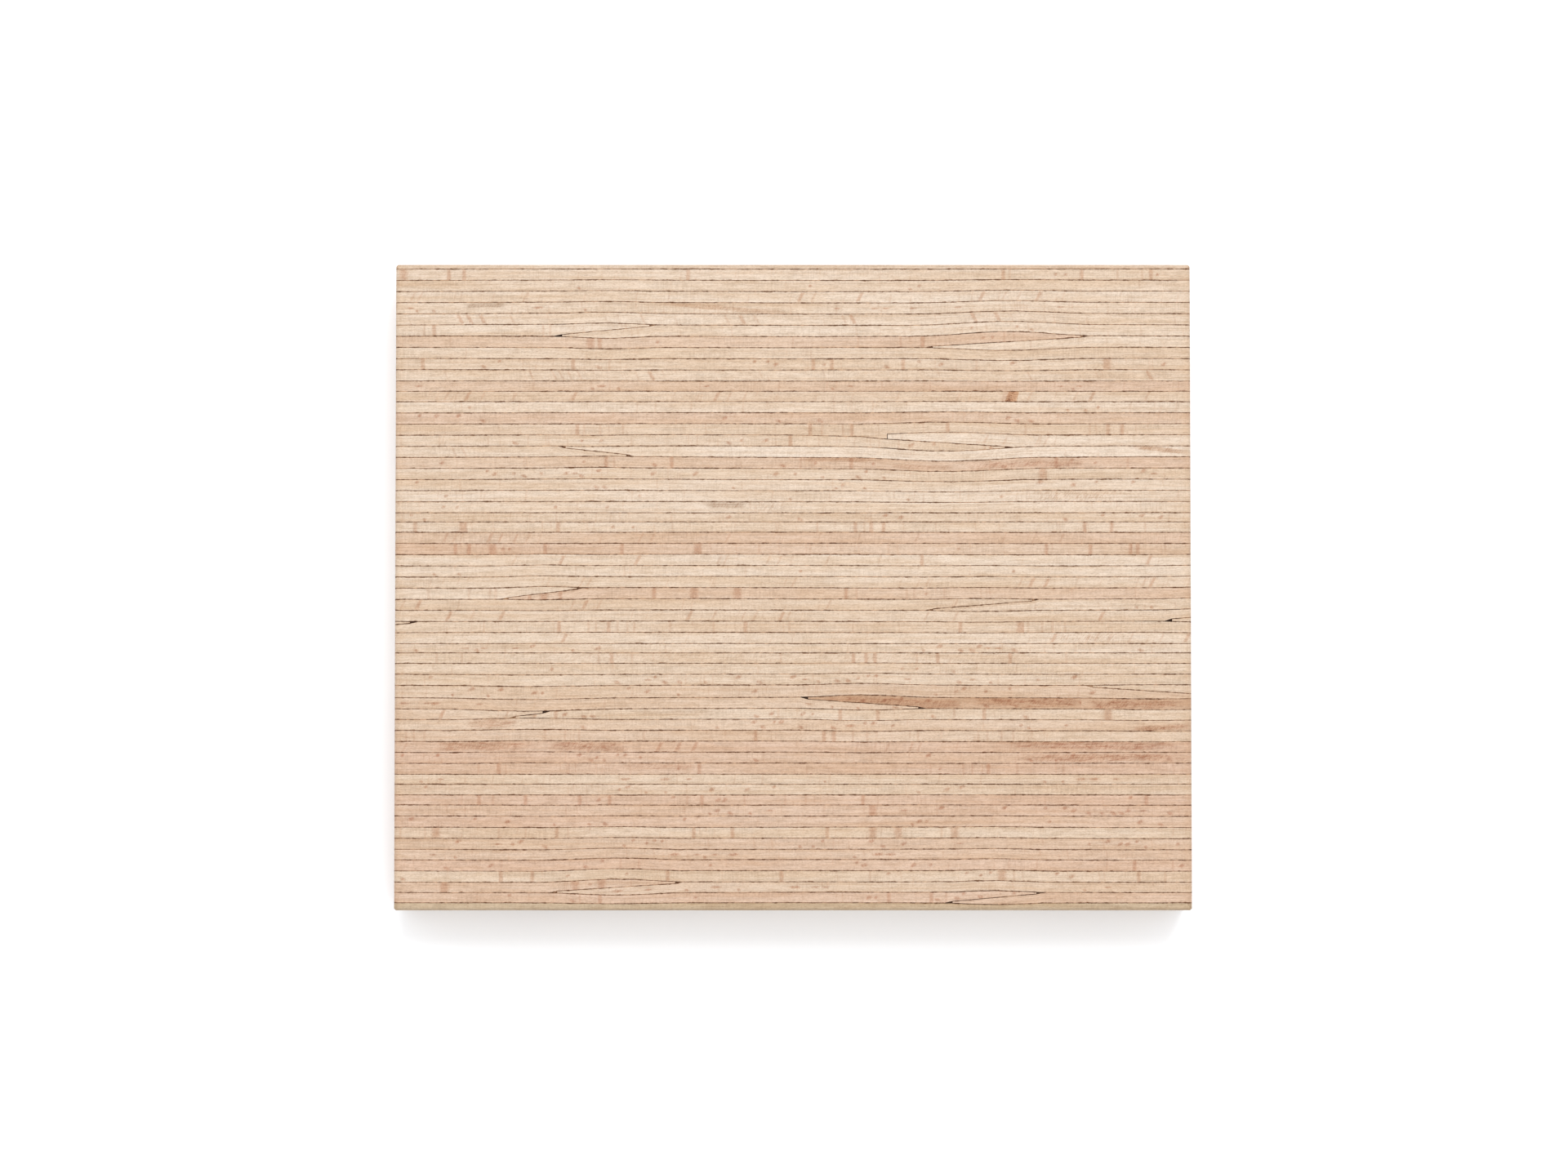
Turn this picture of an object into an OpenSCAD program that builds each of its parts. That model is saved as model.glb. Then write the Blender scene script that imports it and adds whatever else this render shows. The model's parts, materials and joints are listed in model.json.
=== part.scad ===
// Glued beech panel: rotary-cut beech veneers are glued face to face into billets, the billets are
// planed into lamellas, and five lamellas are turned on edge and glued side by side.
// The panel lies flat: X runs with the grain, Y across the veneers, Z through the thickness.
// Its back edge is at +Y and its front edge at -Y. Origin: the middle of the resting face.

/* [Panel] */
// Length along the grain
panel_l = 210; // [120:1:400]
// Width across the veneers
panel_w = 170.5; // [140:0.5:300]
// Thickness between the two sanded faces
panel_t = 20; // [10:0.5:60]
// Width of the flat sanded on every outer edge
edge_break = 0.5; // [0.2:0.1:1.5]

/* [Veneers] */
// Thickness of one pressed veneer, to the middle of its glue lines
ply_t = 2.93; // [2.3:0.01:4]
// Thickness of a glue line
glue_t = 0.18; // [0.1:0.01:0.3]
// How far a glue line wanders off straight in the middle of a lamella
wander = 0.1; // [0:0.01:0.3]
// Length of one wave of a wandering glue line
wave_l = 150; // [90:1:300]

/* [Trimming] */
// Wood trimmed off the glued-up panel's back edge
trim_back = 1; // [0:0.1:1.2]
// Wood trimmed off the glued-up panel's front edge
trim_front = 1.4; // [0:0.1:1.8]

/* [Lap joints] */
// Length of the resin pocket in front of a veneer's tip
pocket_l = 2; // [1:0.1:4]
// How far past its tips a lap joint bends the neighbouring veneers
lap_reach = 5; // [2:0.5:10]
// How fast that bend fades towards the flat faces of the lamella
lap_fade = 1.5; // [1:0.1:3]
// Length over which a blunt tip crushes the veneer behind it instead of leaving a pocket
crush_l = 10; // [6:1:20]

/* [Hidden] */

// Five lamellas, numbered from the back edge to the front edge, and the veneers in each
lamellas = 5;
lamella_w = (panel_w + trim_back + trim_front) / lamellas;
plies = round(lamella_w / ply_t);
rows = lamellas * plies;

// How much thicker than usual the veneers of each lamella came out of the press
press = [0.04, 0.01, 0.01, -0.05, -0.01];
// Veneers unlike their neighbours: lamella, place in it, extra thickness
odd_plies = [[4, 4, 0.4], [5, 2, -0.25], [5, 7, -0.2], [5, 10, -0.2], [5, 11, -0.2], [5, 12, 0.5]];
// What share of the planing each lamella had on its back face
planed_back = [0.75, 0.25, 0.3, 0.35, 0.9];

// Lap joints, where one veneer of a layer ends on the next: lamella, place in it,
// where the back veneer's tip and the front veneer's tip lie along X,
// how far the lap pushes the veneers behind it and the veneers in front of it,
// how thick the back veneer's tip and the front veneer's tip are,
// how much further than usual the bend reaches, and whether the back tip crushes its neighbour
laps = [
    [1, 7, -38, -61, 0.5, 0.6, 0.5, 0.5, 0, false],
    [1, 8, 76, 37, 1.2, 0.85, 0.5, 0.4, 0, false],
    [2, 5, 25, 56, 0.85, 1.25, 1.35, 0.4, 6, true],
    [2, 6, -60, -44, -0.2, -0.2, 0.5, 0.5, 3, false],
    [3, 7, -57, -75, 0.4, 0.2, 0.5, 0.5, 0, false],
    [3, 8, 63, 37, 0.25, 0.25, 0.5, 0.5, 0, false],
    [3, 9, 125, 100, 0.5, 0.4, 0.5, 0.7, 0, false],
    [3, 10, -101, -126, 0.1, 0.1, 0.5, 0.5, 0, false],
    [4, 4, 79, 114, 0.2, 0.3, 0.5, 0.5, 0, false],
    [4, 5, 4, 33, 0.65, 0.45, 0.6, 0.5, 0, false],
    [4, 6, -66, -73, -0.6, -0.45, 0.6, 0.5, 18, false],
    [5, 10, -31, -62, 0.8, 0.7, 0.5, 0.5, 0, false],
    [5, 11, 64, 42, 0.5, 0.45, 0.5, 0.5, 0, false]
];

// Everything is glued up longer and thicker than the panel, then cut to size
overrun = 25;
spare = 1;
// Points along a bent glue line are fine_step apart, and only every coarse-th is kept elsewhere
fine_step = 6;
coarse = 5;
steps = ceil((panel_l / 2 + overrun) / fine_step);
run = steps * fine_step;
// Bends smaller than this get no points of their own
least_bend = 0.08;

// Tones that the veneers take in turn, and the tone of the hardened resin
tones = [[0.89, 0.79, 0.69], [0.93, 0.84, 0.74], [0.87, 0.75, 0.64], [0.91, 0.81, 0.7]];
glue_tone = [0.36, 0.24, 0.17];

function total(v, i = 0) = i < len(v) ? v[i] + total(v, i + 1) : 0;
function backwards(v) = [for (i = [len(v) - 1:-1:0]) v[i]];

// Rows of veneers and the lines between them are counted from the back edge: line 0 is the back
// edge, and line n lies between row n and row n + 1
function lamella_of(row) = ceil(row / plies);
function place_of(row) = row - (lamella_of(row) - 1) * plies;
function pressed_t(row) = ply_t + press[lamella_of(row) - 1] + total([for (odd = odd_plies)
    if (odd[0] == lamella_of(row) && odd[1] == place_of(row)) odd[2]]);

// What a billet loses on both faces when it is planed to the width of a lamella
planed = [for (n = [1:lamellas])
    total([for (row = [(n - 1) * plies + 1:n * plies]) pressed_t(row)]) - lamella_w];
function row_t(row) = let (n = lamella_of(row) - 1) pressed_t(row)
    - (place_of(row) == 1 ? planed[n] * planed_back[n] : 0)
    - (place_of(row) == plies ? planed[n] * (1 - planed_back[n]) : 0)
    - (row == 1 ? trim_back : 0)
    - (row == rows ? trim_front : 0);
depths = [for (row = 1, d = 0; row <= rows + 1; d = d + (row <= rows ? row_t(row) : 0), row = row + 1) d];

// What a lap's entry holds
function lap_lamella(lap) = lap[0];
function lap_place(lap) = lap[1];
function back_tip(lap) = lap[2];
function front_tip(lap) = lap[3];
function push_behind(lap) = lap[4];
function push_before(lap) = lap[5];
function back_tip_t(lap) = lap[6];
function front_tip_t(lap) = lap[7];
function crushes(lap) = lap[9];
// The way along X from the back veneer past its tip: 1 or -1
function ahead(lap) = sign(back_tip(lap) - front_tip(lap));

// A lap's middle, half the length of its bend, and its hump from 0 at both ends to 1
function lap_middle(lap) = (back_tip(lap) + front_tip(lap)) / 2;
function lap_half(lap) = abs(back_tip(lap) - front_tip(lap)) / 2 + lap_reach + lap[8];
function hump(lap, x) = let (u = (x - lap_middle(lap)) / lap_half(lap))
    abs(u) < 1 ? (1 + cos(180 * u)) / 2 : 0;

// How far a lap bends a line of its lamella at most, fading to nothing at the planed faces
function fade(lines, of) = lines == 0 ? 0 : pow(lines / of, lap_fade);
function bend(lap, place) = place < lap_place(lap)
    ? push_behind(lap) * fade(place, lap_place(lap) - 1)
    : -push_before(lap) * fade(plies - place, plies - lap_place(lap));

// How far a blunt tip's end leaves the line behind it crushed forwards, past the tip
function crush(lap, x) = let (past = (x - back_tip(lap)) * ahead(lap))
    past > 0 && past < crush_l ? -back_tip_t(lap) * (1 - past / crush_l) : 0;

function on_seam(line) = line % plies == 0;
function laps_in(lamella) =
    [for (lap = laps) if (lap_lamella(lap) == lamella && lap_place(lap) <= plies) lap];
function laps_near(line) = [for (lap = laps_in(ceil(line / plies)))
    if (abs(bend(lap, line % plies)) >= least_bend) lap];
// The laps whose blunt tips crush the veneer behind a line
function crushers(line) = [for (lap = laps_in(ceil(line / plies)))
    if (crushes(lap) && lap_place(lap) == line % plies + 1) lap];

// Where a line lies: it wanders most in the middle of a lamella, in step with its neighbours
function wave(line, x) = wander * sin(180 * (line % plies) / plies)
    * sin(360 * x / wave_l + 200 * ceil(line / plies) + 9 * line);
function line_y(line, x) = panel_w / 2 - depths[line]
    + (on_seam(line) ? 0 : wave(line, x)
        + total([for (lap = laps_near(line)) bend(lap, line % plies) * hump(lap, x)])
        + total([for (lap = crushers(line)) crush(lap, x)]));

// Where a line has points: few where it only wanders, more where a lap bends it
function stations(line) = on_seam(line) ? [-run, run] :
    let (near = laps_near(line)) [for (i = [-steps:steps]) let (x = i * fine_step)
        if (abs(i) == steps || i % coarse == 0
            || len([for (lap = near) if (abs(x - lap_middle(lap)) < lap_half(lap)) 1]) > 0) x];

// A station this near a lap's corner is skipped
clear = 1;

// The wood's back edge and front edge in a row, half a glue line off the lines on its two sides
function back_y(row, x) = line_y(row - 1, x) + (row == 1 ? spare : -glue_t / 2);
function front_y(row, x) = line_y(row, x) + (row == rows ? -spare : glue_t / 2);
function back_edge(row, x0 = -run, x1 = run) =
    [for (x = stations(row - 1)) if (x >= x0 && x <= x1) [x, back_y(row, x)]];
function plain_edge(row, x0, x1) =
    [for (x = stations(row)) if (x >= x0 && x <= x1) [x, front_y(row, x)]];
// Where a blunt tip crushes the veneer, its front edge steps over the tip's end
function front_edge(row, x0 = -run, x1 = run) = let (found = crushers(row))
    len(found) == 0 ? plain_edge(row, x0, x1) :
    let (lap = found[0], x = back_tip(lap) + ahead(lap) * glue_t,
        pressed = [x, front_y(row, x)], free = [x, front_y(row, back_tip(lap))])
    concat(plain_edge(row, x0, x - clear), ahead(lap) < 0 ? [pressed, free] : [free, pressed],
        plain_edge(row, x + clear, x1));

// The two faces of a lap joint, each from the back line to the front line: the back veneer's face,
// and the front veneer's face across the glue. Each tip is blunt, with a resin pocket before it
// unless it crushes its neighbour.
function back_face(row, lap) = let (
        xb = back_tip(lap), xf = front_tip(lap), pocket_x = xf - ahead(lap) * pocket_l)
    [[xb, back_y(row, xb)], [xb, back_y(row, xb) - back_tip_t(lap) + glue_t],
        [xf, front_y(row, xf) + front_tip_t(lap)], [pocket_x, front_y(row, pocket_x)]];
function front_face(row, lap) = let (
        xb = back_tip(lap), xf = front_tip(lap), pocket_x = xb + ahead(lap) * pocket_l)
    [[pocket_x, back_y(row, pocket_x)], [xb, back_y(row, xb) - back_tip_t(lap)],
        [xf, front_y(row, xf) + front_tip_t(lap) - glue_t], [xf, front_y(row, xf)]];

// Outlines of the veneers of a row: one, or two where a lap joint parts it
function left_veneer(row, face) = concat(
    back_edge(row, -run, face[0].x - clear), face,
    backwards(front_edge(row, -run, face[3].x - clear)));
function right_veneer(row, face) = concat(
    backwards(face), back_edge(row, face[0].x + clear, run),
    backwards(front_edge(row, face[3].x + clear, run)));
function veneers_of(row) = let (
        found = [for (lap = laps_in(lamella_of(row))) if (lap_place(lap) == place_of(row)) lap])
    len(found) == 0 ? [concat(back_edge(row), backwards(front_edge(row)))] :
    let (lap = found[0], faces = [back_face(row, lap), front_face(row, lap)])
        [left_veneer(row, ahead(lap) > 0 ? faces[0] : faces[1]),
         right_veneer(row, ahead(lap) > 0 ? faces[1] : faces[0])];

// An outline of the panel seen along one axis, with its corners broken
module broken_rectangle(a, b) {
    c = edge_break;
    polygon([
        [-a / 2 + c, -b / 2], [a / 2 - c, -b / 2], [a / 2, -b / 2 + c], [a / 2, b / 2 - c],
        [a / 2 - c, b / 2], [-a / 2 + c, b / 2], [-a / 2, b / 2 - c], [-a / 2, -b / 2 + c]
    ]);
}

// The panel's outer form, which every veneer and glue line is cut and sanded to
module sanded_block() {
    intersection() {
        linear_extrude(height = panel_t) broken_rectangle(panel_l, panel_w);
        translate([0, 0, panel_t / 2]) rotate([90, 0, 0])
            linear_extrude(height = panel_w, center = true) broken_rectangle(panel_l, panel_t);
        translate([0, 0, panel_t / 2]) rotate([90, 0, 90])
            linear_extrude(height = panel_l, center = true) broken_rectangle(panel_w, panel_t);
    }
}

// Cuts what stands in the press, taller than the panel, to the panel's form
module cut_to_size() {
    intersection() {
        sanded_block();
        translate([0, 0, -spare]) linear_extrude(height = panel_t + 2 * spare) children();
    }
}

module lamella_veneers(n) {
    for (row = [(n - 1) * plies + 1:n * plies])
        color(tones[(row * 7 + n) % len(tones)])
            cut_to_size() for (outline = veneers_of(row)) polygon(outline);
}

// The resin fills what the veneers leave free between the outermost two of a lamella
module lamella_glue(n) {
    first = (n - 1) * plies;
    y_back = (line_y(first, 0) + line_y(first + 1, 0)) / 2;
    y_front = (line_y(first + plies - 1, 0) + line_y(first + plies, 0)) / 2;
    color(glue_tone) cut_to_size() difference() {
        translate([-run + spare, y_front]) square([2 * (run - spare), y_back - y_front]);
        for (row = [first + 1:first + plies], outline = veneers_of(row)) polygon(outline);
    }
}

// The four straight glue lines between the planed lamellas
module seam_glue() {
    color(glue_tone) for (n = [1:lamellas - 1])
        cut_to_size() translate([0, line_y(n * plies, 0)]) square([2 * run, glue_t], center = true);
}

lamella_veneers(1);  // lamella_1_veneers
lamella_veneers(2);  // lamella_2_veneers
lamella_veneers(3);  // lamella_3_veneers
lamella_veneers(4);  // lamella_4_veneers
lamella_veneers(5);  // lamella_5_veneers
lamella_glue(1);  // lamella_1_glue
lamella_glue(2);  // lamella_2_glue
lamella_glue(3);  // lamella_3_glue
lamella_glue(4);  // lamella_4_glue
lamella_glue(5);  // lamella_5_glue
seam_glue();
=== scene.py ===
"""Dresses the glued beech panel: veneers on edge, resin between them, floor, light and camera."""

import json
import math
import random

import bmesh
import bpy
import numpy as np
from bpy.props import FloatProperty, FloatVectorProperty, IntProperty, PointerProperty
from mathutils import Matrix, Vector

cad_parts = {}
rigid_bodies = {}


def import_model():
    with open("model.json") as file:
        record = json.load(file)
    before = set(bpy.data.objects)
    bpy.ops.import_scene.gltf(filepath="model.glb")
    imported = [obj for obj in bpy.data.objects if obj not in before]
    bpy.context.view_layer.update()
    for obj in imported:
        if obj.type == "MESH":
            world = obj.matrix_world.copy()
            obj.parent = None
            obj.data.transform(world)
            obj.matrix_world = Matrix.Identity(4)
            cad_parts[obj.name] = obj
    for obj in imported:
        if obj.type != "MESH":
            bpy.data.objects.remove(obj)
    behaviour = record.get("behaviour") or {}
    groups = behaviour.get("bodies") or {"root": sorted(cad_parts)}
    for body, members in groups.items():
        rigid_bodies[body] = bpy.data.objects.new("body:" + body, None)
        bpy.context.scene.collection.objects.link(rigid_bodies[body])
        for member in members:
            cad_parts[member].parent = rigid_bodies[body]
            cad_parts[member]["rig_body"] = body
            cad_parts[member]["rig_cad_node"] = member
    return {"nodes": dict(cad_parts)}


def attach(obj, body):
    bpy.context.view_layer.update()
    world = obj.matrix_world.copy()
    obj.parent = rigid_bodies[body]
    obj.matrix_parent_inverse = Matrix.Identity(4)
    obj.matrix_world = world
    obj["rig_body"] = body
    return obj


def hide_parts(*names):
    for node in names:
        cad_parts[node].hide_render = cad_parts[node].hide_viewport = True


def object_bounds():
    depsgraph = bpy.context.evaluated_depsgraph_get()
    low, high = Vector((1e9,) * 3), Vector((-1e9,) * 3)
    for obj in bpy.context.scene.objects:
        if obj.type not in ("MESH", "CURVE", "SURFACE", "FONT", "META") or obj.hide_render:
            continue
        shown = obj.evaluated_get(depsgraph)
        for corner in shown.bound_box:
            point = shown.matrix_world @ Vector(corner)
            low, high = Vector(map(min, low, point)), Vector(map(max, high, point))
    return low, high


bl_info = {
    "name": "Glued Beech Panel",
    "version": (1, 0, 0),
    "blender": (4, 5, 0),
    "location": "3D View > Sidebar > Beech Panel",
    "description": "Veneers, hardened resin and studio for a panel of glued beech",
    "category": "Add Mesh",
}

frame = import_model()
CAD_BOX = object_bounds()
# Bars that the panel is glued up from, and layers of veneer in each bar
LAMELLAS, PLIES = 5, 12
MM = 0.001

# Layers made of two veneers that lap: which one lies further back, the one that reaches the
# panel's left end (L) or the right end (R). A blank is a veneer that reaches both.
LAPPED = {7: "LR", 8: "LR", 17: "RL", 18: "LR", 31: "LR", 32: "LR", 33: " R", 34: "L ",
          40: "LR", 41: "LR", 42: "LR", 58: "LR", 59: "LR"}
# Veneers that are whole at one side of the panel though another one laps onto them
SIDES = {"33": "", "34": "", "40L": ""}

# How warm the wood of each lamella is, from 0 for ivory to 1 for copper, and how far its veneers
# stray from that, one from the next and each one along its length
WARMTH = (0.4, 0.4, 0.4, 0.5, 0.7)
STRAY, DRIFT = 0.12, 0.08
# Veneers that differ from their neighbours at a glance
ODD_WARMTH = {
    0.1: "18R",
    0.2: "4 7L 7R 14 17R 22 23 28 29 31L",
    0.5: "13 48 49 53 57",
    0.7: "8L 12 15 19 26 27 31R",
    0.85: "45 46 47 50 51 52 56 59L 59R",
}
# The veneer that is heartwood all along, and the golden one at the front edge, whose darker colour is partly
# its own tone and partly painted shade from the front arris
HEARTWOOD, GOLDEN = "41R", "60"

# What the cut brought out on a veneer: the kinds of mark it shows, how many of them there are in
# 100 mm, and the veneers that have it. The others are plain.
FIGURES = (
    ("of", 2, "3 7R 14 22 23 29 32R 38"),
    ("oObBfF", 6, "15 21 24 40L 41R 43 46 49 52"),
    ("oObBfFd", 10, "20 36 39 51 54"),
    ("ddDf", 5, "5 12 41L 48 55 58R"),
    ("iiiI", 7, "7L 16 31L 34 37 44"),
    ("iIIWo", 5, "2 8L 25 27 31R 47 53 58L"),
    ("rrR", 5, "4 13 17R 26 28 30 32L 33 35 42L 45"),
    ("ssS", 4, "6 11 18L"),
    ("iIoObF", 8, "10 17L 19 42R 50 56 57 59L"),
)
# Marks come in groups: how far a group spreads, and the least distance between two marks, in
# millimetres along the grain
GROUP_SPREAD, MARK_GAP = 5, 1.6
# The boldest marks, put in place one by one: veneer, millimetres from the middle, kind
BOLD_MARKS = (
    ("2", -103, "W"), ("2", -91, "I"), ("2", -87, "I"), ("6", -88, "S"), ("6", 54, "S"),
    ("10", 58, "B"), ("10", 83, "W"), ("10", 98, "O"), ("19", -32, "I"), ("20", 66, "W"),
    ("25", -62, "I"), ("26", -80, "R"), ("27", -25, "W"), ("27", 91, "I"), ("28", 34, "I"),
    ("31R", -26, "W"), ("34", 60, "W"), ("40L", 79, "O"), ("42R", 83, "W"), ("43", 15, "D"),
    ("51", 21, "W"), ("53", -94, "W"), ("53", 21, "W"), ("57", 55, "W"),
)

# The kinds of mark: half its length along the grain and across the veneer in millimetres, its place
# from the veneer's back face (0) to its front face (1), how it leans, its strength, and 1 for a spot
MARKS = {
    "i": (0.3, 1.8, 0.5, 0.0, 0.35, 0),
    "I": (0.48, 1.9, 0.5, 0.0, 0.75, 0),
    "W": (0.95, 1.7, 0.5, 0.0, 0.8, 0),
    "r": (0.3, 1.3, 0.5, 0.5, 0.4, 0),
    "R": (0.45, 1.3, 0.5, 0.5, 0.75, 0),
    "s": (0.3, 1.3, 0.5, -0.5, 0.4, 0),
    "S": (0.48, 1.3, 0.5, -0.5, 0.75, 0),
    "o": (0.5, 0.42, 0.5, 0.3, 0.75, 1),
    "O": (0.72, 0.55, 0.5, 0.6, 0.8, 1),
    "b": (0.52, 0.42, 0.23, 0.3, 0.8, 1),
    "B": (0.75, 0.52, 0.25, 0.6, 0.85, 1),
    "f": (0.5, 0.4, 0.78, -0.3, 0.75, 1),
    "F": (0.75, 0.52, 0.75, -0.6, 0.75, 1),
    "d": (0.95, 0.25, 0.5, 0.3, 0.8, 1),
    "D": (1.4, 0.38, 0.5, 0.3, 0.85, 1),
}

# Heartwood, mineral and ray-hatched streaks: veneer, kind, from and to along the grain in
# millimetres, place across the veneer at each end, half breadth as a share of the veneer, strength
STREAK_KINDS = {"tan": 0, "heart": 1, "grey": 2, "hatch": 3}
STREAKS = (
    ("5", "tan", -38, 2, -0.05, 1.05, 0.28, 0.65),
    ("5", "grey", -88, -75, 0.2, 0.2, 0.35, 0.8),
    ("18R", "tan", 89, 106, 0.0, 0.65, 0.3, 0.98),
    ("19", "tan", 0, 24, 0.1, 0.15, 0.28, 0.7),
    ("19", "tan", 24, 44, 0.7, 0.6, 0.3, 0.5),
    ("19", "heart", 44, 80, 0.6, 0.55, 0.45, 0.65),
    ("22", "hatch", 61, 87, 0.5, 0.5, 0.6, 0.6),
    ("23", "grey", -24, -11, 0.2, 0.3, 0.4, 0.95),
    ("23", "hatch", -11, -1, 0.4, 0.5, 0.5, 0.6),
    ("35", "hatch", 66, 90, 0.5, 0.5, 0.6, 0.6),
    ("37", "hatch", -105, 105, 0.5, 0.5, 0.7, 0.3),
    ("41R", "heart", 3, 50, 0.6, 0.6, 0.55, 0.7),
    ("41R", "heart", 44, 82, 0.25, 0.5, 0.5, 0.85),
    ("41R", "heart", 76, 104, 0.6, 0.4, 0.45, 0.9),
    ("42R", "grey", -44, -16, 0.3, 0.3, 0.35, 0.3),
    ("42R", "hatch", 50, 105, 0.5, 0.5, 0.7, 0.15),
    ("43", "heart", -86, -72, 0.4, 0.5, 0.5, 0.6),
    ("43", "heart", 88, 106, 0.8, 0.6, 0.35, 0.8),
    ("45", "heart", -96, -66, 0.4, 0.5, 0.6, 0.7),
    ("45", "heart", -66, -42, 0.5, 0.6, 0.5, 0.7),
    ("45", "heart", 52, 106, 0.2, 0.5, 0.5, 0.8),
    ("46", "heart", 56, 107, 0.5, 0.45, 0.5, 0.8),
    ("47", "heart", -48, -24, 0.3, 0.35, 0.4, 0.4),
)
# The pin knot: veneer, place along the grain, place across, half length and half height
KNOT = ("13", 58, 0.5, 1.6, 1.6)

# How far a mark and the knot reach along the grain from their middles, in millimetres
MARK_REACH, KNOT_REACH = 4, 6
# A place so far off, in half sizes or in millimetres, that nothing there shows
OUTSIDE = 9.0

# Where a lap's resin stayed thick and dark: lamella, from and to along X, from and to along Y,
# all in millimetres from the panel's middle
THICK_RESIN = (
    (1, 41, 52, 63, 69),
    (1, -63, -58, 64, 70),
    (2, 24, 28, 35, 42),
    (3, 92, 101, -11, -6),
    (3, -105, -98, -12, -7),
    (4, 3, 10, -34, -28),
    (4, 29, 34, -34, -28),
    (4, -69, -64, -37, -31),
    (5, 40, 52, -84, -80),
    (5, 61, 66, -81.5, -78),
)


def paint(red, green, blue):
    """A finish's colour as the eye sees it in even light, 0 to 255, as a scene-linear colour."""
    display = [channel / 255 for channel in (red, green, blue)]
    return tuple(c / 12.92 if c < 0.04045 else ((c + 0.055) / 1.055) ** 2.4 for c in display)


def colour(name, description, red, green, blue):
    """A colour property of the sidebar."""
    return FloatVectorProperty(
        name=name, description=description, subtype="COLOR", size=3, min=0, max=1,
        default=paint(red, green, blue))


class BeechWood(bpy.types.PropertyGroup):
    """Tones and figure of the beech veneers."""
    ivory: colour("Ivory", "The palest veneer", 210, 195, 180)
    plain: colour("Plain", "Veneer of middling warmth", 200, 180, 160)
    copper: colour("Copper", "The warmest veneer", 195, 165, 145)
    heart: colour("Heart", "Heartwood", 185, 155, 130)
    # Golden: the front veneer's tone, darker partly from painted shade along the front arris
    golden: colour("Golden", "The veneer at the front edge", 180, 160, 135)
    bar_tint: colour("Ray bar", "What a ray across the veneer multiplies the wood by", 225, 200, 185)
    spot_tint: colour("Ray spot", "What a dark spot multiplies the wood by", 210, 175, 155)
    roughness: FloatProperty(
        name="Roughness", description="How matt the sanded wood is", default=0.62, min=0.2, max=1)
    grain_height: FloatProperty(
        name="Grain height", description="Depth of the grain's relief", default=0.00003,
        min=0, max=0.0005, unit="LENGTH")


class HardResin(bpy.types.PropertyGroup):
    """Colours of the hardened resin."""
    thin: colour("Thin film", "Resin where wood shines through it", 166, 132, 103)
    film: colour("Film", "Resin between two veneers", 104, 74, 52)
    pool: colour("Pool", "Thick resin in a lap's pocket", 40, 24, 14)
    stain: colour("Stain", "What soaked-in resin multiplies the wood by", 170, 139, 113)


class PanelShape(bpy.types.PropertyGroup):
    """Sizes that the dressed panel takes on from its CAD solids."""
    station: FloatProperty(
        name="Station spacing", description="Distance between the lines across each veneer",
        default=0.006, min=0.002, max=0.03, unit="LENGTH")
    arris: FloatProperty(
        name="Arris rounding", description="How much each edge of the broken arris is rounded",
        default=0.00012, min=0.00002, max=0.0002, unit="LENGTH")
    corner: FloatProperty(
        name="Corner rounding", description="How much each upright corner is worn round",
        default=0.0007, min=0.0001, max=0.001, unit="LENGTH")
    seed: IntProperty(name="Grain seed", description="Another number gives other grain", default=7)


class PanelStudio(bpy.types.PropertyGroup):
    """Floor, light and camera."""
    distance: FloatProperty(
        name="Camera distance", description="From the panel's face to the camera",
        default=1.026, min=0.3, max=5, unit="LENGTH")
    elevation: FloatProperty(
        name="Elevation", description="The camera's height over the horizon",
        default=math.radians(88), min=0, max=math.pi / 2, subtype="ANGLE")
    lens: FloatProperty(
        name="Lens", description="Focal length in millimetres", default=89.3, min=20, max=300)
    sky: FloatProperty(
        name="Sky", description="Strength of the even light all round", default=1.25, min=0, max=5)
    lamp: FloatProperty(
        name="Lamp", description="Power of the soft light behind the panel, in watts",
        default=28.1, min=0, max=200, unit="POWER")


# ------------------------------------------------------------------------------- node building


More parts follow.
